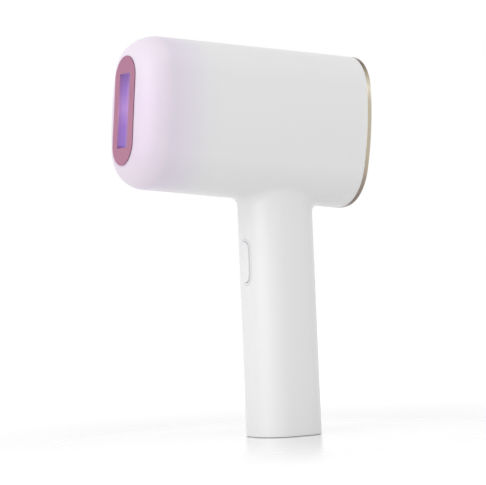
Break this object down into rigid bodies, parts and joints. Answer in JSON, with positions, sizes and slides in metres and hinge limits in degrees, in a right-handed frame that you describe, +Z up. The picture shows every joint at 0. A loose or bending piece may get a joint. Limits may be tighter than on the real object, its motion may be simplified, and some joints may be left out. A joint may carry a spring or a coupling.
{
  "type": "ipl hair remover",
  "caption": "Handheld pulsed-light hair remover: barrel head with a framed light window, gold rear ring and a straight handle with a trigger.",
  "frame": {"origin": "middle of the foot at the bottom of the handle, on the surface it stands on", "axes": "+Z up along the handle, -Y the way the light window faces, +X to the flank on the left hand of someone looking out over the window"},
  "size_m": [0.0482, 0.1189, 0.1815],
  "materials": {
    "white_shell": "satin white ABS",
    "glow_cap": "translucent opal polycarbonate with a lavender tint",
    "rose_bezel": "rose anodised",
    "window_glass": "violet filter glass",
    "seal": "silicone",
    "cold_metal": "milled",
    "ceramic": "matt",
    "copper": "drawn copper",
    "fin_metal": "rolled",
    "chassis_plastic": "glass-filled, black",
    "steel": "zinc plated",
    "mirror_metal": "polished",
    "quartz": "clear quartz",
    "board_green": "solder resist",
    "led": "clear lens",
    "ferrite": "matt dark grey",
    "component_black": "moulded epoxy",
    "can": "drawn can",
    "socket_black": "moulded nylon",
    "contact": "plated",
    "lead_black": "insulation",
    "lead_white": "silicone insulation",
    "gold_trim": "brass, plated champagne gold",
    "foot_metal": "zinc die casting, white powder coat",
    "cover_white": "satin white ABS",
    "lens_dark": "smoked acrylic",
    "display_grey": "display body",
    "button_white": "satin white ABS",
    "fan_black": "moulded",
    "bronze": "sintered"
  },
  "bodies": {
    "body": {"base_cap": "foot_metal", "base_screws": "steel", "bezel": "rose_bezel", "bezel_seal": "seal", "board_components": "component_black", "board_screws": "steel", "charge_transformer": "ferrite", "chassis_screws": "steel", "clamp_screws": "steel", "cold_plate": "cold_metal", "cooler_modules": "ceramic", "cooling_fins": "fin_metal", "dc_jack": "socket_black", "display_lens": "lens_dark", "display_module": "display_grey", "fan_bush": "bronze", "fan_housing": "fan_black", "fan_lead": "lead_black", "fan_screws": "steel", "fan_stator": "copper", "filter_window": "window_glass", "flash_lamp": "quartz", "frame_screws": "steel", "glow_board": "board_green", "glow_leds": "led", "heat_pipes": "copper", "hot_plate": "cold_metal", "jack_pin": "contact", "lamp_electrodes": "steel", "lamp_holders": "ceramic", "lamp_leads": "lead_white", "left_housing": "white_shell", "light_ring_cap": "glow_cap", "mode_switch": "component_black", "optics_chassis": "chassis_plastic", "power_board": "board_green", "power_lead": "lead_black", "rear_board": "board_green", "rear_cover": "cover_white", "rear_frame": "chassis_plastic", "rear_trim_ring": "gold_trim", "reflector": "mirror_metal", "right_housing": "white_shell", "storage_capacitor": "can", "transformer_winding": "copper", "trigger_board": "board_green", "trigger_lead": "lead_black", "trigger_surround": "button_white", "trigger_switch": "component_black"},
    "trigger": {"trigger_button": "button_white", "switch_plunger": "component_black"},
    "mode_key": {"mode_button": "button_white", "mode_plunger": "component_black"},
    "fan_wheel": {"fan_rotor": "fan_black", "fan_shaft": "steel"}
  },
  "joints": [
    {"name": "trigger_press", "type": "slide", "parent": "body", "child": "trigger", "axis": [0, 1, 0], "range_m": [0, 0.0006], "stiffness_N_per_m": 800},
    {"name": "mode_press", "type": "slide", "parent": "body", "child": "mode_key", "axis": [0, -0.9956, 0.0934], "range_m": [0, 0.0004], "stiffness_N_per_m": 800},
    {"name": "fan_spin", "type": "hinge", "parent": "body", "child": "fan_wheel", "pos_m": [0, 0.02367, 0.12738], "axis": [0, 0.9956, -0.0934], "continuous": true}
  ]
}
